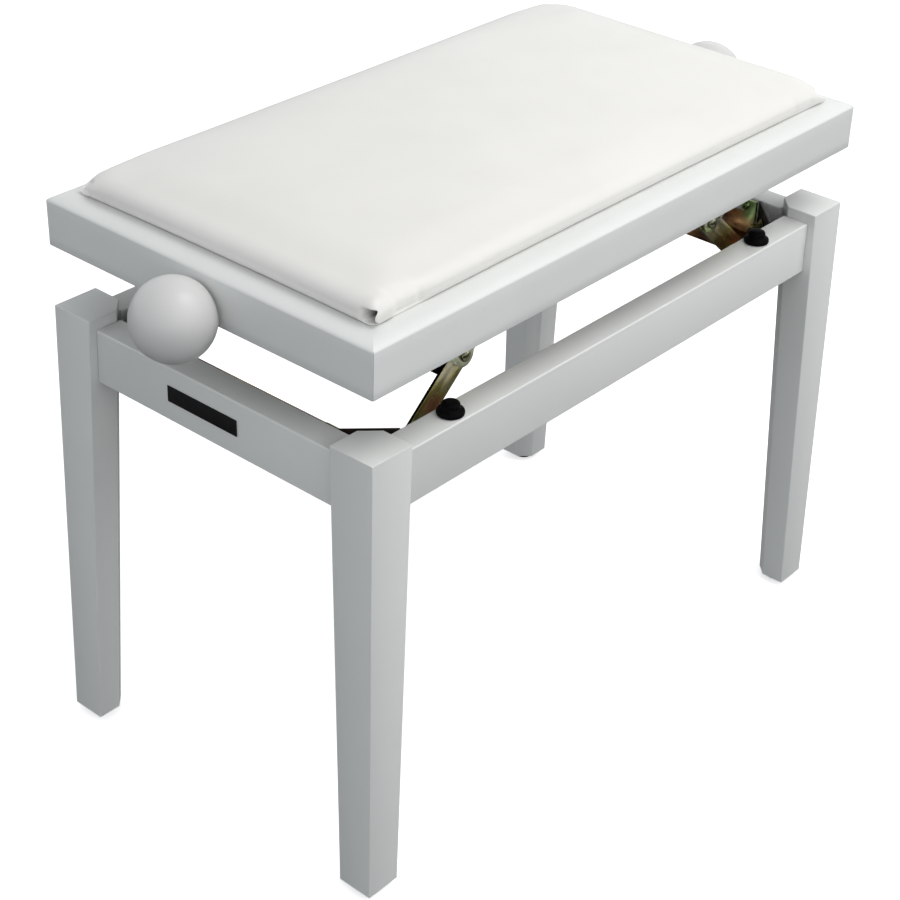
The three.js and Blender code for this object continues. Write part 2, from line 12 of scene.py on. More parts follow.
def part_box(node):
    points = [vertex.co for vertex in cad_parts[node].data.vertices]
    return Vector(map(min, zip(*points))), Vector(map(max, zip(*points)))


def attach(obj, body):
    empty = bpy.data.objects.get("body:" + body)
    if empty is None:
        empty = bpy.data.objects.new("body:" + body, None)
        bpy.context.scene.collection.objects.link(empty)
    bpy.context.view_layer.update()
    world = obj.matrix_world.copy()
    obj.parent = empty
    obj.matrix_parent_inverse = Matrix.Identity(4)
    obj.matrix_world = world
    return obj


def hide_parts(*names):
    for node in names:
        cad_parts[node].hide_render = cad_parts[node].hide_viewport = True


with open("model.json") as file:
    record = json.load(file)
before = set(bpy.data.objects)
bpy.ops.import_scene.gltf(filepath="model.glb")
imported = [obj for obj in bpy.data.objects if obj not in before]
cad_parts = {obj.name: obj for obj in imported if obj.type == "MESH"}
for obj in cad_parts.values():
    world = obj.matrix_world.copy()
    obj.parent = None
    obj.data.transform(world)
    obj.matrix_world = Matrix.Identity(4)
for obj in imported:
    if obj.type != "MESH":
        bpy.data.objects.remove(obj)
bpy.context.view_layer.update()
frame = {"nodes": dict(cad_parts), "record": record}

MM = 0.001
ENDS = (("left", -1), ("right", 1))
SIDES = (("front", -1), ("back", 1))


# ---------------------------------------------------------------- materials
class Nodes:
    """Short calls for building one material's node tree."""

    def __init__(self, name):
        self.material = bpy.data.materials.new(name)
        self.material.use_nodes = True
        self.tree = self.material.node_tree
        self.shader = self.tree.nodes["Principled BSDF"]
        coordinates = self.tree.nodes.new("ShaderNodeTexCoord")
        self.place = coordinates.outputs["Object"]

    def link(self, source, target):
        self.tree.links.new(source, target)

    def stretched(self, scale):
        node = self.tree.nodes.new("ShaderNodeMapping")
        node.inputs["Scale"].default_value = scale
        self.link(self.place, node.inputs["Vector"])
        return node.outputs["Vector"]

    def noise(self, scale, detail=3.0, roughness=0.5, place=None):
        node = self.tree.nodes.new("ShaderNodeTexNoise")
        node.inputs["Scale"].default_value = scale
        node.inputs["Detail"].default_value = detail
        node.inputs["Roughness"].default_value = roughness
        self.link(place or self.place, node.inputs["Vector"])
        return node.outputs["Fac"]

    def height(self):
        node = self.tree.nodes.new("ShaderNodeSeparateXYZ")
        self.link(self.place, node.inputs["Vector"])
        return node.outputs["Z"]

    def added(self, first, second, constant):
        total = self.tree.nodes.new("ShaderNodeMath")
        shifted = self.tree.nodes.new("ShaderNodeMath")
        shifted.inputs[1].default_value = constant
        self.link(first, total.inputs[0])
        self.link(second, total.inputs[1])
        self.link(total.outputs["Value"], shifted.inputs[0])
        return shifted.outputs["Value"]

    def attribute(self, name):
        node = self.tree.nodes.new("ShaderNodeAttribute")
        node.attribute_name = name
        return node.outputs["Fac"]

    def side_face_shade_mask(self):
        """One on the faces that look neither forward nor back, zero on those that do; it places
        painted shade.
        """
        coordinates = self.tree.nodes.new("ShaderNodeTexCoord")
        split = self.tree.nodes.new("ShaderNodeSeparateXYZ")
        size = self.tree.nodes.new("ShaderNodeMath")
        size.operation = "ABSOLUTE"
        self.link(coordinates.outputs["Normal"], split.inputs["Vector"])
        self.link(split.outputs["Y"], size.inputs[0])
        return self.between(size.outputs["Value"], 1.0, 0.0, 0.5, 0.8)

    def darkened(self, colour, share, dark):
        mix = self.tree.nodes.new("ShaderNodeMix")
        mix.data_type = "RGBA"
        self.link(share, mix.inputs[0])
        self.link(colour, mix.inputs[6])
        mix.inputs[7].default_value = (*dark, 1)
        return mix.outputs[2]

    def cells(self, scale):
        node = self.tree.nodes.new("ShaderNodeTexVoronoi")
        node.inputs["Scale"].default_value = scale
        self.link(self.place, node.inputs["Vector"])
        return node.outputs["Distance"]

    def ramp(self, source, stops):
        node = self.tree.nodes.new("ShaderNodeValToRGB")
        ramp = node.color_ramp
        while len(ramp.elements) < len(stops):
            ramp.elements.new(0.5)
        for element, (position, colour) in zip(ramp.elements, stops):
            element.position = position
            element.color = (*colour, 1)
        self.link(source, node.inputs["Fac"])
        return node.outputs["Color"]

    def between(self, source, low, high, start=0.3, end=0.7):
        node = self.tree.nodes.new("ShaderNodeMapRange")
        node.inputs["From Min"].default_value = start
        node.inputs["From Max"].default_value = end
        node.inputs["To Min"].default_value = low
        node.inputs["To Max"].default_value = high
        self.link(source, node.inputs["Value"])
        return node.outputs["Result"]

    def bump(self, source, distance, strength=1.0, below=None):
        node = self.tree.nodes.new("ShaderNodeBump")
        node.inputs["Distance"].default_value = distance
        node.inputs["Strength"].default_value = strength
        self.link(source, node.inputs["Height"])
        if below:
            self.link(below, node.inputs["Normal"])
        return node.outputs["Normal"]

    def set(self, **values):
        for name, value in values.items():
            socket = self.shader.inputs[name.replace("_", " ")]
            if isinstance(value, bpy.types.NodeSocket):
                self.link(value, socket)
            else:
                socket.default_value = (*value, 1) if isinstance(value, tuple) else value
        return self.material


def paint_material():
    """Sprayed satin white: a faint orange peel over sealed fibreboard."""
    m = Nodes("satin_white_paint")
    tone = m.ramp(m.noise(9, 4), [(0.3, (0.775, 0.785, 0.775)), (0.7, (0.80, 0.81, 0.80))])
    gloss = m.between(m.noise(60, 3), 0.44, 0.52)
    peel = m.bump(m.noise(420, 2), 0.00012, 0.5)
    fibre = m.bump(m.noise(1500, 3, 0.7), 0.00004, 0.6, peel)
    return m.set(Base_Color=tone, Roughness=gloss, Normal=fibre)


def knob_paint_with_shade():
    """Glossier than the frame's paint and a little greyer as painted shade, on the turned knobs."""
    m = Nodes("knob_white_painted_shade")
    # painted shade: the knobs' white is greyer than the frame's to stand in for their shading
    tone = m.ramp(m.noise(6, 2), [(0.3, (0.665, 0.66, 0.655)), (0.7, (0.675, 0.67, 0.665))])
    gloss = m.between(m.noise(12, 2), 0.33, 0.37)
    peel = m.bump(m.noise(300, 2), 0.00004, 0.3)
    return m.set(Base_Color=tone, Roughness=gloss, Normal=peel)


PAINTED_SHADE_ATTRIBUTE = "painted_fold_shade"  # the cushion's attribute, one inside its corner fold and zero elsewhere, where it darkens the vinyl as painted shade
FOLD_SHADE = (0.10, 0.10, 0.095)


def vinyl_material():
    """Glossy white vinyl with a very fine pressed grain, dulled and darkened by painted shade inside
    the folds.
    """
    m = Nodes("white_vinyl")
    clean = m.ramp(m.noise(14, 3), [(0.3, (0.79, 0.775, 0.75)), (0.7, (0.82, 0.805, 0.78))])
    # painted shade: the vinyl goes nearly black inside the corner fold
    tone = m.darkened(clean, m.attribute(PAINTED_SHADE_ATTRIBUTE), FOLD_SHADE)
    gloss = m.between(m.noise(35, 3), 0.40, 0.48)
    grain = m.bump(m.cells(1300), 0.00005, 0.35)
    ripple = m.bump(m.noise(26, 2), 0.0007, 0.22, grain)
    return m.set(Base_Color=tone, Roughness=gloss, Normal=ripple, Coat_Weight=0.06, Coat_Roughness=0.2)


LIFT_BOTTOM = 0.340  # metres, heights between which the chromate's colour climbs its ramp
LIFT_TOP = 0.430
# near-black painted shade for the side faces of the lift arms
SIDE_FACE_SHADE = (0.015, 0.011, 0.007)


def zinc_material(name, shift, stops, shaded_side_faces=False):
    """Yellow chromate over zinc: in large patches it shades up a ramp of colours with the height.

    Optionally the faces that look neither forward nor back are darkened nearly to black as painted
    shade.
    """
    m = Nodes(name)
    blotches = m.noise(24, 2.5, 0.5)
    climb = m.between(m.height(), -0.18, 0.30, LIFT_BOTTOM, LIFT_TOP)
    tone = m.ramp(m.added(blotches, climb, shift), stops)
    if shaded_side_faces:
        # painted shade on the side faces
        tone = m.darkened(tone, m.side_face_shade_mask(), SIDE_FACE_SHADE)
    gloss = m.between(m.noise(160, 4), 0.24, 0.42)
    rolled = m.bump(m.noise(700, 3), 0.00004, 0.5)
    return m.set(Base_Color=tone, Roughness=gloss, Normal=rolled, Metallic=1.0)


def steel_material():
    """Bright zinc plate on turned and headed pieces."""
    m = Nodes("bright_steel")
    tone = m.ramp(m.noise(120, 3), [(0.3, (0.16, 0.16, 0.09)), (0.7, (0.26, 0.26, 0.17))])
    gloss = m.between(m.noise(300, 3), 0.10, 0.22)
    turned = m.bump(m.noise(900, 2), 0.00003, 0.5)
    return m.set(Base_Color=tone, Roughness=gloss, Normal=turned, Metallic=1.0)


def enamel_material():
    """Black enamel on the corner braces."""
    m = Nodes("black_enamel")
    tone = m.ramp(m.noise(50, 3), [(0.3, (0.008, 0.005, 0.004)), (0.7, (0.016, 0.009, 0.007))])
    gloss = m.between(m.noise(200, 3), 0.42, 0.55)
    peel = m.bump(m.noise(800, 2), 0.00005, 0.5)
    return m.set(Base_Color=tone, Roughness=gloss, Normal=peel, Specular_IOR_Level=0.18)


def rubber_material():
    m = Nodes("black_rubber")
    tone = m.ramp(m.noise(90, 3), [(0.3, (0.0015, 0.0015, 0.0018)), (0.7, (0.004, 0.004, 0.0045))])
    gloss = m.between(m.noise(260, 3), 0.48, 0.62)
    skin = m.bump(m.noise(1600, 3), 0.00005, 0.6)
    return m.set(Base_Color=tone, Roughness=gloss, Normal=skin, Specular_IOR_Level=0.04)


def plastic_material():
    m = Nodes("black_plastic")
    tone = m.ramp(m.noise(70, 2), [(0.3, (0.005, 0.005, 0.005)), (0.7, (0.009, 0.009, 0.009))])
    gloss = m.between(m.noise(240, 3), 0.40, 0.52)
    skin = m.bump(m.noise(1800, 2), 0.00003, 0.5)
    return m.set(Base_Color=tone, Roughness=gloss, Normal=skin, Specular_IOR_Level=0.22)


def plywood_material():
    """Raw plywood: long grain along X with darker rings."""
    m = Nodes("plywood")
    along = m.stretched((3.0, 70.0, 70.0))
    grain = m.noise(1.0, 6, 0.6, along)
    tone = m.ramp(grain, [
        (0.30, (0.40, 0.27, 0.15)), (0.52, (0.56, 0.42, 0.26)), (0.72, (0.64, 0.51, 0.34)),
    ])
    gloss = m.between(m.noise(90, 3), 0.62, 0.8)
    pores = m.bump(m.noise(4.0, 6, 0.7, along), 0.0002, 0.5)
    return m.set(Base_Color=tone, Roughness=gloss, Normal=pores)


FLOOR_GLOW = 0.6
FLOOR_SEEN = 0.95  # the floor's tone to the eye
FLOOR_FELT = 0.12  # and as a source of bounced light


def floor_material():
    """Seamless white sweep: bright to look at, with only a little light thrown back up."""
    m = Nodes("pale_floor")
    path = m.tree.nodes.new("ShaderNodeLightPath").outputs["Is Camera Ray"]
    seen = m.between(path, FLOOR_FELT, FLOOR_SEEN, 0, 1)
    glow = m.between(path, 0.0, FLOOR_GLOW, 0, 1)
    gloss = m.between(m.noise(3, 2), 0.78, 0.86)
    return m.set(Base_Color=seen, Roughness=gloss, Specular_IOR_Level=0.1,
                 Emission_Color=(1.0, 1.0, 1.0), Emission_Strength=glow)


PAINT = paint_material()
KNOB_PAINT_SHADED = knob_paint_with_shade()
VINYL = vinyl_material()
ZINC = zinc_material("yellow_zinc_brackets", 0.05, [
    (0.25, (0.10, 0.05, 0.03)), (0.38, (0.52, 0.27, 0.12)), (0.46, (0.52, 0.44, 0.20)),
    (0.55, (0.30, 0.46, 0.17)), (0.78, (0.50, 0.54, 0.32)),
])
# the lift arms get painted shade on their side faces
ZINC_ARMS = zinc_material("yellow_zinc_arms", 0.04, [
    (0.25, (0.22, 0.08, 0.04)), (0.38, (0.46, 0.22, 0.10)), (0.47, (0.42, 0.38, 0.13)),
    (0.56, (0.62, 0.55, 0.34)), (0.70, (0.80, 0.75, 0.60)),
], shaded_side_faces=True)
ZINC_STAYS = zinc_material("yellow_zinc_stays", -0.06, [
    (0.25, (0.16, 0.16, 0.07)), (0.42, (0.36, 0.46, 0.16)), (0.55, (0.58, 0.60, 0.42)),
    (0.75, (0.74, 0.73, 0.62)),
])
STEEL = steel_material()
ENAMEL = enamel_material()
RUBBER = rubber_material()
PLASTIC = plastic_material()
PLYWOOD = plywood_material()
MATERIAL_OF_SLOT = {
    "white_paint": PAINT,
    "white_vinyl": VINYL,
    "yellow_zinc": ZINC,
    "bright_steel": STEEL,
    "black_steel": ENAMEL,
    "black_rubber": RUBBER,
    "black_plastic": PLASTIC,
    "board": PLYWOOD,
}
BODY_OF_NODE = {
    node: body for body, nodes in frame["record"]["behaviour"]["bodies"].items() for node in nodes
}
SLOT_OF_NODE = {row["node"]: row["material_slot"] for row in frame["record"]["subparts"]}


# ---------------------------------------------------------------- mesh helpers
def new_piece(name, bm):
    mesh = bpy.data.meshes.new(name)
    bmesh.ops.recalc_face_normals(bm, faces=bm.faces)
    bm.to_mesh(mesh)
    bm.free()
    piece = bpy.data.objects.new(name, mesh)
    bpy.context.scene.collection.objects.link(piece)
    return piece


def settle(piece, slot, body, *replaced, material=None):
    """Gives the piece its material and the body it moves with, and hides the CAD nodes that it stands
    for.
    """
    piece.data.materials.clear()
    piece.data.materials.append(material or MATERIAL_OF_SLOT[slot])
    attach(piece, body)
    if replaced:
        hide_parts(*replaced)
    return piece


def smooth(piece, angle=35):
    for face in piece.data.polygons:
        face.use_smooth = True
    piece.data.set_sharp_from_angle(angle=math.radians(angle))


def soften(piece, radius, segments=3):
    """Rounds every sharp edge."""
    bevel = piece.modifiers.new("rounded_edges", "BEVEL")
    bevel.width = radius
    bevel.segments = segments
    bevel.limit_method = "ANGLE"
    bevel.angle_limit = math.radians(32)
    bevel.harden_normals = True
    for face in piece.data.polygons:
        face.use_smooth = True


def clean_copy(node, name):
    """A copy of a CAD node with its shared vertices merged and its flat faces whole."""
    bm = bmesh.new()
    bm.from_mesh(frame["nodes"][node].data)
    bmesh.ops.remove_doubles(bm, verts=bm.verts, dist=2e-6)
    bmesh.ops.dissolve_limit(bm, angle_limit=math.radians(0.6), verts=bm.verts, edges=bm.edges)
    return new_piece(name, bm)


def softened_node(node, radius, segments=3, material=None):
    piece = clean_copy(node, f"{node}_finished")
    soften(piece, radius, segments)
    return settle(piece, SLOT_OF_NODE[node], BODY_OF_NODE[node], node, material=material)


TURN = {  # from the Z axis to the named one
    "Z": Matrix.Identity(4),
    "-Z": Matrix.Rotation(math.pi, 4, "X"),
    "X": Matrix.Rotation(math.pi / 2, 4, "Y"),
    "-X": Matrix.Rotation(-math.pi / 2, 4, "Y"),
    "Y": Matrix.Rotation(-math.pi / 2, 4, "X"),
    "-Y": Matrix.Rotation(math.pi / 2, 4, "X"),
}
SHEET = 2.5  # millimetres, pressed steel


def lathed(name, profile, centre, axis="Z", facets=48):
    """Solid of revolution from [radius, along] points in millimetres, placed at centre."""
    bm = bmesh.new()
    rings = []
    for radius, along in profile:
        if radius == 0:
            rings.append([bm.verts.new((0, 0, along * MM))])
            continue
        ring = []
        for i in range(facets):
            a = 2 * math.pi * i / facets
            point = Vector((radius * math.cos(a), radius * math.sin(a), along))
            ring.append(bm.verts.new(point * MM))
        rings.append(ring)
    for lower, upper in zip(rings, rings[1:]):
        for i in range(facets):
            j = (i + 1) % facets
            corners = [lower[i % len(lower)], lower[j % len(lower)]]
            corners += [upper[j % len(upper)], upper[i % len(upper)]]
            bm.faces.new(list(dict.fromkeys(corners)))
    bmesh.ops.transform(bm, matrix=Matrix.Translation(centre) @ TURN[axis], verts=bm.verts)
    piece = new_piece(name, bm)
    smooth(piece)
    return piece


# ---------------------------------------------------------------- painted frame
def painted_frame():
    for side, _ in SIDES:
        softened_node(f"rail_{side}", 1.3 * MM)
        for end, _ in ENDS:
            softened_node(f"leg_{side}_{end}", 1.6 * MM, 4)
    for end, _ in ENDS:
        softened_node(f"rail_{end}", 1.3 * MM)


def corner_fittings():
    for side, _ in SIDES:
        for end, _ in ENDS:
            softened_node(f"corner_brace_{side}_{end}", 0.35 * MM, 2)
            softened_node(f"leg_bolt_{side}_{end}", 0.3 * MM, 2)


GLIDE_SOLE = [(0, 0.9), (3.2, 0.9), (3.6, 0.4), (4.2, 0), (8.2, 0), (9.4, 0.5), (10, 1.5)]
BUMPER_PROFILE = [
    (0, 0), (9.3, 0), (9.8, 0.3), (10, 0.9), (10, 2.2), (9.7, 3.0), (8.9, 3.7), (7.9, 4.2), (7.2, 4.7),
    (6.9, 5.3), (6.8, 6.2), (6.7, 7.4), (6.3, 8.4), (5.4, 9.1), (4.0, 9.5), (2.2, 9.7), (0, 9.7),
]


def moulded(node, profile, slot):
    """A turned black piece standing where the CAD node stands."""
    low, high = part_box(node)
    centre = Vector(((low.x + high.x) / 2, (low.y + high.y) / 2, low.z))
    settle(lathed(f"{node}_moulded", profile, centre), slot, "frame", node)


def glides_and_bumpers():
    for side, _ in SIDES:
        for end, _ in ENDS:
            glide = f"glide_{side}_{end}"
            low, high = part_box(glide)
            height = (high.z - low.z) / MM
            top = [(9.8, height - 0.4), (9.4, height), (0, height)]
            moulded(glide, GLIDE_SOLE + top, "black_plastic")
            moulded(f"bumper_{side}_{end}", BUMPER_PROFILE, "black_rubber")


# ---------------------------------------------------------------- seat frame
RING_CORNER_STEPS = 8
RING_EDGE_STEPS = 14
SEAT_RADIUS = 1.1  # millimetres, upright outer corners of the seat frame
EDGE_ROUND = 13.0  # how far in the rounded outer edge reaches
EDGE_FALL = 4.4  # and how far down
MITRE_GROOVE = 0.9  # where the mitre shows at the upright corners


def seat_ring():
    """The seat's mitred frame, glued up, filled and sprayed as one ring."""
    low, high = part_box("seat_frame_front")
    half_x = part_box("seat_frame_right")[1].x / MM
    half_y = -low.y / MM
    width = (high.y - low.y) / MM
    bottom, top = low.z / MM, high.z / MM
    profile = [(width, bottom), (1.2, bottom), (0.35, bottom + 0.35), (0, bottom + 1.2)]
    profile += [(0, bottom + (top - EDGE_FALL - bottom) * k / 4) for k in (1, 2, 3)]
    for k in range(RING_EDGE_STEPS + 1):
        a = math.pi / 2 * k / RING_EDGE_STEPS
        profile.append((EDGE_ROUND * (1 - math.cos(a)), top - EDGE_FALL * (1 - math.sin(a))))
    profile += [(width - 0.8, top), (width - 0.25, top - 0.25), (width, top - 0.8)]
    bm = bmesh.new()
    loops = []
    for inward, z in profile:
        loop = []
        radius = max(SEAT_RADIUS - inward * 0.5, 0.3)
        for quarter, (sx, sy) in enumerate(((1, 1), (-1, 1), (-1, -1), (1, -1))):
            cx = sx * (half_x - inward - radius)
            cy = sy * (half_y - inward - radius)
            for k in range(RING_CORNER_STEPS + 1):
                a = math.pi / 2 * (quarter + k / RING_CORNER_STEPS)
                reach = radius
                if abs(k - RING_CORNER_STEPS // 2) <= 1 and inward < 0.5:
                    reach = radius - MITRE_GROOVE
                point = Vector((cx + reach * math.cos(a), cy + reach * math.sin(a), z))
                loop.append(bm.verts.new(point * MM))
        loops.append(loop)
    count = len(loops[0])
    for k, loop in enumerate(loops):
        following = loops[(k + 1) % len(loops)]
        for i in range(count):
            j = (i + 1) % count
            bm.faces.new((loop[i], loop[j], following[j], following[i]))
    ring = new_piece("seat_frame_sprayed", bm)
    smooth(ring, 40)
    return ring


# ---------------------------------------------------------------- cushion
CUSHION_X = 263.5  # millimetres, half length at the corners
CUSHION_Y = 143.0
WELT = 8.0  # upright edge below the roll
ROLL = 48.0  # how far in the roll reaches
EDGE_ROLL = 13.0  # and its steep first part
EDGE_HEIGHT = 7.2
SHOULDER = 17.0  # height where the roll ends, at mid side, before stuffing
CROWN = 18.6  # height of the middle before stuffing
CORNER_ROUND = 5.0  # corner radius in plan
CORNER_REACH = 15.0  # how far the corners' flat tips reach
CORNER_FLAT = 0.55  # share of the height lost at a tip
NEAR_CORNER_FLAT = 0.08  # the left front corner is stuffed full
NEAR_CORNER_LIFT = 2.0
PULL_X = 1.6  # how far the short sides draw in between the corners
PULL_Y = 2.2


ROLL_STEPS = 26
MIDDLE_SPACING = 7.5  # millimetres between grid lines


def edge_lines(half):
    """Grid lines across the cushion: close together over the roll, wider in the middle."""
    rolled = [ROLL * (1 - math.cos(math.pi / 2 * k / ROLL_STEPS)) for k in range(ROLL_STEPS)]
    inner = half - ROLL
    count = int(2 * inner / MIDDLE_SPACING)
    flat = [-inner + 2 * inner * k / count for k in range(count + 1)]
    return [-half + d for d in rolled] + flat + [half - d for d in reversed(rolled)]


def bell(distance, width):
    return math.exp(-((distance / width) ** 2))


def rise(distance, reach):
    """Height share of a roll at a distance in from the edge."""
    t = min(max(distance / reach, 0.0), 1.0)
    return math.sqrt(max(1 - (1 - t) ** 2.3, 0.0))


def cushion_point(x, y):
    """Point on the top surface above the plan position x, y."""
    dx, dy = CUSHION_X - abs(x), CUSHION_Y - abs(y)
    u, v = x / CUSHION_X, y / CUSHION_Y
    roll = rise(dx, ROLL) * rise(dy, ROLL)
    edge = rise(dx, EDGE_ROLL) * rise(dy, EDGE_ROLL)
    dome = (1 - abs(u) ** 2.5) * (1 - abs(v) ** 2.5)
    height = WELT + EDGE_HEIGHT * edge + (SHOULDER - WELT - EDGE_HEIGHT) * roll
    height += (CROWN - SHOULDER) * dome ** 0.8
    near = x < 0 and y < 0
    height += NEAR_CORNER_LIFT * near * edge * bell(dx - 6, 8.0) * bell(dy - 6, 8.0)
    flat = NEAR_CORNER_FLAT if near else CORNER_FLAT
    height *= 1 - flat * bell(math.hypot(dx, dy), CORNER_REACH)
    a = 1 - dx / CORNER_ROUND
    b = 1 - dy / CORNER_ROUND
    if a > 0 and b > 0:
        dx = CORNER_ROUND * (1 - a * math.sqrt(1 - b * b / 2))
        dy = CORNER_ROUND * (1 - b * math.sqrt(1 - a * a / 2))
    dx += PULL_X * (1 - v * v) * max(1 - dx / ROLL, 0)
    dy += PULL_Y * (1 - u * u) * max(1 - dy / ROLL, 0)
    return math.copysign(CUSHION_X - dx, x), math.copysign(CUSHION_Y - dy, y), height


def tucked_under(point, inset, share):
    """The point drawn in from the cushion's edge, at a share of its height."""
    return point.x * (1 - inset / CUSHION_X), point.y * (1 - inset / CUSHION_Y), point.z * share


BASE_INSET = 3.2  # how far in the base's outline lies
SIDE_LOOPS = ((0.75, -0.15), (0.5, 0.3), (0.28, 1.2), (0.12, 2.2))  # share of the height, inset


def cushion_plain(z0):
    """The cover before it is stuffed: a low pad whose sides draw in between the corners."""
    xs, ys = edge_lines(CUSHION_X), edge_lines(CUSHION_Y)
    nx, ny = len(xs) - 1, len(ys) - 1
    rim = [(i, 0) for i in range(nx)] + [(nx, j) for j in range(ny)]
    rim += [(i, ny) for i in range(nx, 0, -1)] + [(0, j) for j in range(ny, 0, -1)]
    bm = bmesh.new()
    top = [[bm.verts.new(cushion_point(x, y)) for y in ys] for x in xs]
    bottom = [[bm.verts.new(tucked_under(v.co, BASE_INSET, 0.0)) for v in row] for row in top]
    for grid in (top, bottom):
        for i in range(nx):
            for j in range(ny):
                bm.faces.new((grid[i][j], grid[i + 1][j], grid[i + 1][j + 1], grid[i][j + 1]))
    above = [top[i][j] for i, j in rim]
    sides = [
        [bm.verts.new(tucked_under(top[i][j].co, inset, share)) for i, j in rim]
        for share, inset in SIDE_LOOPS
    ]
    for below in sides + [[bottom[i][j] for i, j in rim]]:
        for k in range(len(rim)):
            n = (k + 1) % len(rim)
            bm.faces.new((above[k], above[n], below[n], below[k]))
        above = below
    for vertex in bm.verts:
        vertex.co = Vector((vertex.co.x, vertex.co.y, vertex.co.z + z0)) * MM
    cushion = new_piece("cushion_cover", bm)
    smooth(cushion, 80)
    return cushion


STUFFING_CAP = 0.005  # metres, furthest that a point of the cover moves
CLOTH_VOXEL = 0.0055
CLOTH_FRAMES = 20
GLUED_HEIGHT = 2.2  # millimetres, the cover below it stays where it is
RAY_START = 0.02  # metres out from the cover
RAY_REACH = 0.03
SMOOTHING_PASSES = 60


def stuffed(cover, z0):
    """Blows a coarse copy of the cover up as cloth and moves the cover's points out onto it."""
    scene = bpy.context.scene
    worker = bpy.data.objects.new("cushion_worker", cover.data.copy())
    scene.collection.objects.link(worker)
    remesh = worker.modifiers.new("even", "REMESH")
    remesh.mode = "VOXEL"
    remesh.voxel_size = CLOTH_VOXEL
    graph = bpy.context.evaluated_depsgraph_get()
    even = bpy.data.meshes.new_from_object(worker.evaluated_get(graph))
    worker.modifiers.clear()
    worker.data = even
    base = worker.vertex_groups.new(name="base")
    floor_of_pad = (z0 + GLUED_HEIGHT) * MM
    base.add([v.index for v in even.vertices if v.co.z < floor_of_pad], 1.0, "REPLACE")
    rest = [v.co.copy() for v in even.vertices]

    cloth = worker.modifiers.new("stuffing", "CLOTH")
    cloth.settings.quality = 5
    cloth.settings.mass = 0.15
    cloth.settings.use_pressure = True
    cloth.settings.uniform_pressure_force = 4
    cloth.settings.effector_weights.gravity = 0
    cloth.settings.vertex_group_mass = "base"
    cloth.settings.tension_stiffness = 12
    cloth.settings.compression_stiffness = 12
    cloth.settings.bending_stiffness = 0.4
    cloth.point_cache.frame_start = 1
    cloth.point_cache.frame_end = CLOTH_FRAMES
    for number in range(1, CLOTH_FRAMES + 1):
        scene.frame_set(number)
    graph = bpy.context.evaluated_depsgraph_get()
    blown = bpy.data.meshes.new_from_object(worker.evaluated_get(graph))
    for vertex, start in zip(blown.vertices, rest):
        move = vertex.co - start
        if move.length > STUFFING_CAP:
            vertex.co = start + move * (STUFFING_CAP / move.length)
    scene.frame_set(1)
    worker.modifiers.clear()
    worker.data = blown
    fine = worker.modifiers.new("fine", "SUBSURF")
    fine.levels = fine.render_levels = 1
    graph = bpy.context.evaluated_depsgraph_get()
    shape = bpy.data.meshes.new_from_object(worker.evaluated_get(graph))
    tree = BVHTree.FromPolygons([v.co for v in shape.vertices], [p.vertices for p in shape.polygons])
    moved = []
    for vertex in cover.data.vertices:
        moved.append(vertex.co)
        if vertex.co.z < floor_of_pad:
            continue
        outward = vertex.normal.copy()
        hit, _, _, _ = tree.ray_cast(vertex.co + outward * RAY_START, -outward, RAY_REACH)
        if hit and (hit - vertex.co).dot(outward) > 0:
            moved[-1] = hit
    offsets = np.array([new - v.co for new, v in zip(moved, cover.data.vertices)])
    ends = np.array([edge.vertices[:] for edge in cover.data.edges])
    ends = np.concatenate((ends, ends[:, ::-1]))
    count = np.bincount(ends[:, 0], minlength=len(offsets))[:, None]
    for _ in range(SMOOTHING_PASSES):
        near = np.zeros_like(offsets)
        np.add.at(near, ends[:, 0], offsets[ends[:, 1]])
        offsets = (offsets + near / count) / 2
    for vertex, offset in zip(cover.data.vertices, offsets):
        vertex.co += Vector(offset)
    bpy.data.objects.remove(worker)


def step(value, start, end):
    """Smooth rise from zero at start to one at end."""
    t = min(max((value - start) / (end - start), 0.0), 1.0)
    return t * t * (3 - 2 * t)


POCKET_DEPTH = 14.0  # the fold in the end face, beside a corner
PLEAT_DEPTH = 2.6  # the fold in the long side
GATHERS = ((46, 1.6), (59, 1.2))  # distance from the corner and depth of the small folds beyond it
GATHER_WIDTH = 1.8
PLEAT_DIP = 1.4  # how far the roll sinks above the pleat
OTHER_CORNERS = 0.3  # their folds' share of the near corner's


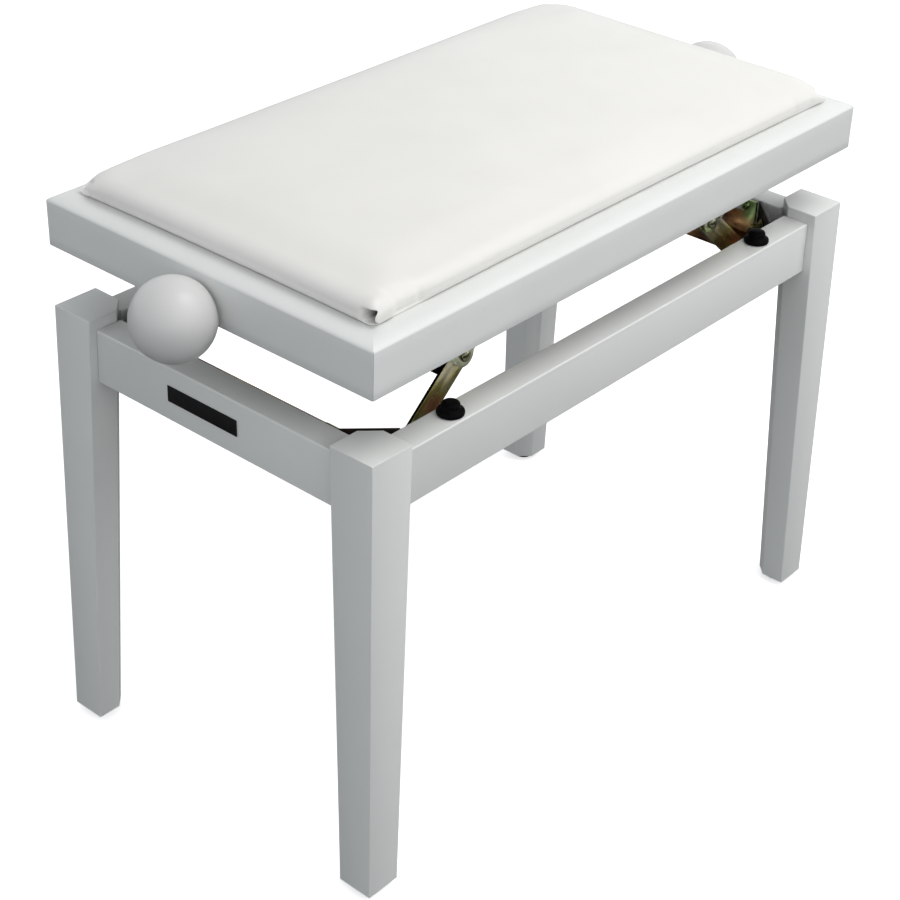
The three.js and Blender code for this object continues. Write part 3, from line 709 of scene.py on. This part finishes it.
def tucks(cover, z0):
    """Folds the cover at its corners: deeply at the left front one, a little at the others."""
    low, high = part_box("cushion")
    painted_fold_shade = cover.data.attributes.new(PAINTED_SHADE_ATTRIBUTE, "FLOAT", "POINT")
    for vertex in cover.data.vertices:
        x, y, z = vertex.co / MM
        z -= z0
        dx, dy = CUSHION_X - abs(x), CUSHION_Y - abs(y)
        sx, sy = math.copysign(1, x), math.copysign(1, y)
        near = sx < 0 and sy < 0
        deep = 1.0 if near else OTHER_CORNERS
        # pocket in the end face beside the corner: abrupt at the fold, closing again along the side
        across = step(dy, 0.8, 2.6) * (1 - step(dy, 7.5, 13.0))
        pocket = across * step(z, 1.6, 2.6) * (1 - step(z, 8.0, 12.0)) * (1 - step(dx, 4.0, 12.0))
        x -= sx * POCKET_DEPTH * deep * pocket
        # marks the near corner's pocket, where the vinyl gets painted shade
        painted_fold_shade.data[vertex.index].value = near * step(pocket, 0.25, 0.9)
        # pleat in the long side, and two small gathers beyond it
        pleat = step(dx, 19.0, 23.5) * (1 - step(dx, 28.0, 62.0)) * PLEAT_DEPTH
        pleat += sum(depth * bell(dx - place, GATHER_WIDTH) for place, depth in GATHERS)
        side = (1 - step(dy, 4.0, 16.0)) * step(z, 0.2, 2.5)
        y -= sy * pleat * deep * side
        dip = PLEAT_DIP * step(dx, 17.0, 24.0) * (1 - step(dx, 30.0, 60.0))
        z -= dip * deep * bell(dy - 7, 8.0) * step(z, 3, 6)
        vertex.co = Vector((x, y, z + z0)) * MM
        vertex.co.x = min(max(vertex.co.x, low.x), high.x)
        vertex.co.y = min(max(vertex.co.y, low.y), high.y)
        vertex.co.z = max(vertex.co.z, low.z)


def cushion():
    low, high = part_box("cushion")
    z0 = low.z / MM
    piece = cushion_plain(z0)
    stuffed(piece, z0)
    tucks(piece, z0)
    rounder = piece.modifiers.new("rounder", "SUBSURF")
    rounder.levels = rounder.render_levels = 1
    settle(piece, "white_vinyl", "seat", "cushion")


# ---------------------------------------------------------------- knobs, lift and screw
KNOB_BORE = 4.3  # millimetres, radius round the spindle's end
KNOB_BORE_DEPTH = 4.0
KNOB_RIM = 0.8  # chamfer round the flat
KNOB_STEPS = 36
KNOB_FACETS = 72


def knob(end, sx):
    """Turned ball with a flat and a bore on its inner side."""
    node = f"knob_{end}"
    low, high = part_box(node)
    radius = (high.z - low.z) / 2 / MM
    inner = (low.x if sx > 0 else high.x) / MM
    outer = (high.x if sx > 0 else low.x) / MM
    centre_x = outer - sx * radius
    flat = abs(centre_x - inner)
    rim = math.sqrt(radius ** 2 - flat ** 2) - KNOB_RIM
    floor = KNOB_BORE_DEPTH - flat
    profile = [(0, floor), (KNOB_BORE, floor), (KNOB_BORE, -flat), (rim, -flat)]
    start = math.acos(-(flat - KNOB_RIM) / radius)
    for k in range(KNOB_STEPS):
        a = start * (1 - k / KNOB_STEPS)
        profile.append((radius * math.sin(a), radius * math.cos(a)))
    profile.append((0, radius))
    centre = Vector((centre_x, 0, (low.z + high.z) / 2 / MM)) * MM
    piece = lathed(f"{node}_turned", profile, centre, "X" if sx > 0 else "-X", KNOB_FACETS)
    # the knobs take the greyer paint, as painted shade
    settle(piece, "white_paint", "screw", node, material=KNOB_PAINT_SHADED)


PITCH = 4.0  # millimetres, one turn of the thread
STEPS_PER_TURN = 8
ROD_FACETS = 20
THREAD_ROOT = 4.15
THREAD_CREST = 5.0
THREAD_FROM = 55.0
THREAD_TO = 158.0
ROD_END = 3.2  # radii of the chamfered end, the plain end and the plain middle
ROD_PLAIN = 4.0
ROD_MIDDLE = 3.6


def threaded_rod():
    """The spindle: real helical threads, left-hand on one side and right-hand on the other."""
    low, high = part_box("spindle")
    z = (low.z + high.z) / 2 / MM
    half = high.x / MM
    bm = bmesh.new()

    def ring(x, radius_at):
        made = []
        for i in range(ROD_FACETS):
            a = 2 * math.pi * i / ROD_FACETS
            r = radius_at(a)
            made.append(bm.verts.new(Vector((x, r * math.cos(a), z + r * math.sin(a))) * MM))
        return made

    def thread_radius(x, hand):
        def at(angle):
            phase = (x / PITCH - hand * angle / (2 * math.pi)) % 1.0
            flank = min(phase, 1 - phase) * 2
            return THREAD_ROOT + (THREAD_CREST - THREAD_ROOT) * min(max(1.35 * flank - 0.15, 0), 1)
        return at

    plain = [(half, ROD_END), (half - 1, ROD_PLAIN), (THREAD_TO + 1, ROD_PLAIN)]
    rings = [ring(x, lambda a, r=r: r) for x, r in plain]
    steps = int((THREAD_TO - THREAD_FROM) / PITCH * STEPS_PER_TURN)
    for k in range(steps + 1):
        x = THREAD_TO - (THREAD_TO - THREAD_FROM) * k / steps
        rings.append(ring(x, thread_radius(x, 1)))
    rings += [ring(x, lambda a: ROD_MIDDLE) for x in (THREAD_FROM - 1, -THREAD_FROM + 1)]
    for k in range(steps + 1):
        x = -THREAD_FROM - (THREAD_TO - THREAD_FROM) * k / steps
        rings.append(ring(x, thread_radius(x, -1)))
    rings += [ring(-x, lambda a, r=r: r) for x, r in reversed(plain)]
    for lower, upper in zip(rings, rings[1:]):
        for i in range(ROD_FACETS):
            j = (i + 1) % ROD_FACETS
            bm.faces.new((lower[i], lower[j], upper[j], upper[i]))
    bm.faces.new(rings[0])
    bm.faces.new(reversed(rings[-1]))
    rod = new_piece("spindle_threaded", bm)
    smooth(rod, 40)
    return settle(rod, "bright_steel", "screw", "spindle")


HEAD_FACETS = 48
HEAD_RINGS = (0.12, 0.2, 0.3, 0.4, 0.5, 0.6, 0.75, 0.88, 0.96, 1.0)  # shares of the radius
HEAD_HEIGHT = 0.55
CROSS_WIDTH = 0.13
CROSS_LENGTH = 0.5
CROSS_DEPTH = 0.35


def screw_head(name, place, axis, body, slot, radius=3.6):
    """Pan head with a cross recess."""
    bm = bmesh.new()
    rings = []
    for share in HEAD_RINGS:
        ring = []
        for i in range(HEAD_FACETS):
            a = 2 * math.pi * i / HEAD_FACETS
            x, y = radius * share * math.cos(a), radius * share * math.sin(a)
            height = radius * HEAD_HEIGHT * math.sqrt(1 - (share * 0.93) ** 2)
            if min(abs(x), abs(y)) < radius * CROSS_WIDTH and share <= CROSS_LENGTH:
                height -= radius * CROSS_DEPTH
            ring.append(bm.verts.new(Vector((x, y, height)) * MM))
        rings.append(ring)
    rings.append([bm.verts.new(Vector((v.co.x, v.co.y, 0))) for v in rings[-1]])
    for inner, outer in zip(rings, rings[1:]):
        for i in range(HEAD_FACETS):
            j = (i + 1) % HEAD_FACETS
            bm.faces.new((inner[i], inner[j], outer[j], outer[i]))
    bm.faces.new(rings[0])
    bm.faces.new(reversed(rings[-1]))
    bmesh.ops.transform(bm, matrix=Matrix.Translation(Vector(place) * MM) @ TURN[axis], verts=bm.verts)
    piece = new_piece(name, bm)
    smooth(piece, 30)
    return settle(piece, slot, body)


END_SCREWS = ((-88.5, 358.5), (-35, 343), (35, 343), (88.5, 358.5))  # y, z on the end plates
RAIL_SCREW = (203.5, 351)  # x, z on the side flanges
SEAT_SCREWS = ((190, -98), (190, 98), (238, -98), (238, 98), (190, -28), (190, 28))  # x, y


def bracket_screws():
    for end, sx in ENDS:
        low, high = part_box(f"base_bracket_{end}")
        plate_face = (high.x if sx > 0 else low.x) / MM - sx * SHEET
        inward = "-X" if sx > 0 else "X"
        for k, (y, z) in enumerate(END_SCREWS):
            place = (plate_face, y, z)
            screw_head(f"end_screw_{end}_{k}", place, inward, "frame", "yellow_zinc")
        for side, sy in SIDES:
            x, z = RAIL_SCREW
            place = (sx * x, sy * (high.y / MM - SHEET), z)
            inward = "-Y" if sy > 0 else "Y"
            screw_head(f"rail_screw_{end}_{side}", place, inward, "frame", "yellow_zinc", 3.0)
        low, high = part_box(f"seat_bracket_{end}")
        for k, (x, y) in enumerate(SEAT_SCREWS):
            place = (sx * x, y, high.z / MM - SHEET)
            screw_head(f"seat_screw_{end}_{k}", place, "-Z", "seat", "yellow_zinc")


def lift():
    for end, sx in ENDS:
        knob(end, sx)
        softened_node(f"base_bracket_{end}", 0.45 * MM, 2)
        softened_node(f"seat_bracket_{end}", 0.45 * MM, 2)
        softened_node(f"lift_frame_{end}", 0.45 * MM, 2, ZINC_ARMS)
        softened_node(f"nut_bar_{end}", 0.5 * MM, 2)
        softened_node(f"knob_washer_{end}", 0.3 * MM, 2)
        for side, _ in SIDES:
            softened_node(f"stay_arm_{end}_{side}", 0.45 * MM, 2, ZINC_STAYS)
            for node in ("base_rivet", "knee_rivet", "seat_rivet"):
                softened_node(f"{node}_{end}_{side}", 0.3 * MM, 2)
    threaded_rod()
    bracket_screws()


# ---------------------------------------------------------------- set and camera
WALL_LIGHT = 1.14
CEILING_LIGHT = 0.36
CEILING_FROM = 0.8  # upward share of a direction at which the ceiling starts
BACKDROP = 1.05  # the world's strength as the camera sees it
FLOOR_SIZE = 12.0  # metres
FLOOR_DROP = 0.0002
SEAT_MIDDLE = (0, 0, 0.4)


def studio():
    """Pale floor, a room lighter at its walls than overhead, and four softboxes."""
    bm = bmesh.new()
    bmesh.ops.create_grid(bm, x_segments=4, y_segments=4, size=FLOOR_SIZE / 2)
    floor = new_piece("floor", bm)
    floor.location.z = -FLOOR_DROP
    floor.data.materials.append(floor_material())

    world = bpy.data.worlds.new("studio")
    bpy.context.scene.world = world
    world.use_nodes = True
    tree = world.node_tree
    background = tree.nodes["Background"]
    direction = tree.nodes.new("ShaderNodeTexCoord")
    split = tree.nodes.new("ShaderNodeSeparateXYZ")
    tree.links.new(direction.outputs["Generated"], split.inputs["Vector"])
    walls = tree.nodes.new("ShaderNodeMapRange")
    walls.inputs["From Max"].default_value = CEILING_FROM
    walls.inputs["To Min"].default_value = WALL_LIGHT
    walls.inputs["To Max"].default_value = CEILING_LIGHT
    tree.links.new(split.outputs["Z"], walls.inputs["Value"])
    path = tree.nodes.new("ShaderNodeLightPath")
    strength = tree.nodes.new("ShaderNodeMapRange")
    strength.inputs["To Max"].default_value = BACKDROP
    tree.links.new(walls.outputs["Result"], strength.inputs["To Min"])
    tree.links.new(path.outputs["Is Camera Ray"], strength.inputs["Value"])
    tree.links.new(strength.outputs["Result"], background.inputs["Strength"])
    background.inputs["Color"].default_value = (0.94, 0.975, 1.0, 1)

    softbox("key", (0.45, -0.65, 2.1), 1.0, 13.5, (1.0, 0.985, 0.95))
    softbox("overhead", (-0.5, -1.5, 1.9), 1.8, 9, (1.0, 0.99, 0.97))
    softbox("front", (1.3, -1.8, 1.35), 1.2, 7, (1.0, 0.995, 0.96))
    softbox("far_right", (2.1, 0.95, 1.5), 1.4, 4, (1.0, 0.985, 0.955))
    bpy.context.scene.view_settings.view_transform = "Standard"


def softbox(name, place, size, watts, colour):
    """Square area light aimed at the seat."""
    data = bpy.data.lights.new(name, "AREA")
    data.size = size
    data.energy = watts
    data.color = colour
    lamp = bpy.data.objects.new(name, data)
    lamp.location = place
    lamp.rotation_mode = "QUATERNION"
    aim = Vector(SEAT_MIDDLE) - Vector(place)
    lamp.rotation_quaternion = aim.to_track_quat("-Z", "Y")
    bpy.context.scene.collection.objects.link(lamp)


CAMERA_PLACE = (-1.0767, -0.9016, 1.0715)
CAMERA_AZIMUTH = -49.59  # degrees
CAMERA_ELEVATION = 32.08
CAMERA_ROLL = 1.843
CAMERA_LENS = 80.72  # millimetres
SENSOR_WIDTH = 36


def camera():
    data = bpy.data.cameras.new("camera")
    data.sensor_width = SENSOR_WIDTH
    data.lens = CAMERA_LENS
    cam = bpy.data.objects.new("camera", data)
    a, e = math.radians(CAMERA_AZIMUTH), math.radians(CAMERA_ELEVATION)
    back = Vector((math.sin(a) * math.cos(e), -math.cos(a) * math.cos(e), math.sin(e)))
    right = (-back).cross(Vector((0, 0, 1))).normalized()
    up = back.cross(right)
    roll = math.radians(CAMERA_ROLL)
    tilted_right = right * math.cos(roll) + up * math.sin(roll)
    tilted_up = up * math.cos(roll) - right * math.sin(roll)
    turn = Matrix((tilted_right, tilted_up, back)).transposed().to_4x4()
    cam.matrix_world = Matrix.Translation(CAMERA_PLACE) @ turn
    bpy.context.scene.collection.objects.link(cam)
    bpy.context.scene.camera = cam


studio()
camera()
painted_frame()
corner_fittings()
glides_and_bumpers()
settle(seat_ring(), "white_paint", "seat", *(f"seat_frame_{name}" for name, _ in SIDES + ENDS))
softened_node("seat_board", 0.4 * MM, 2)
softened_node("name_plate", 0.15 * MM, 2)
cushion()
lift()
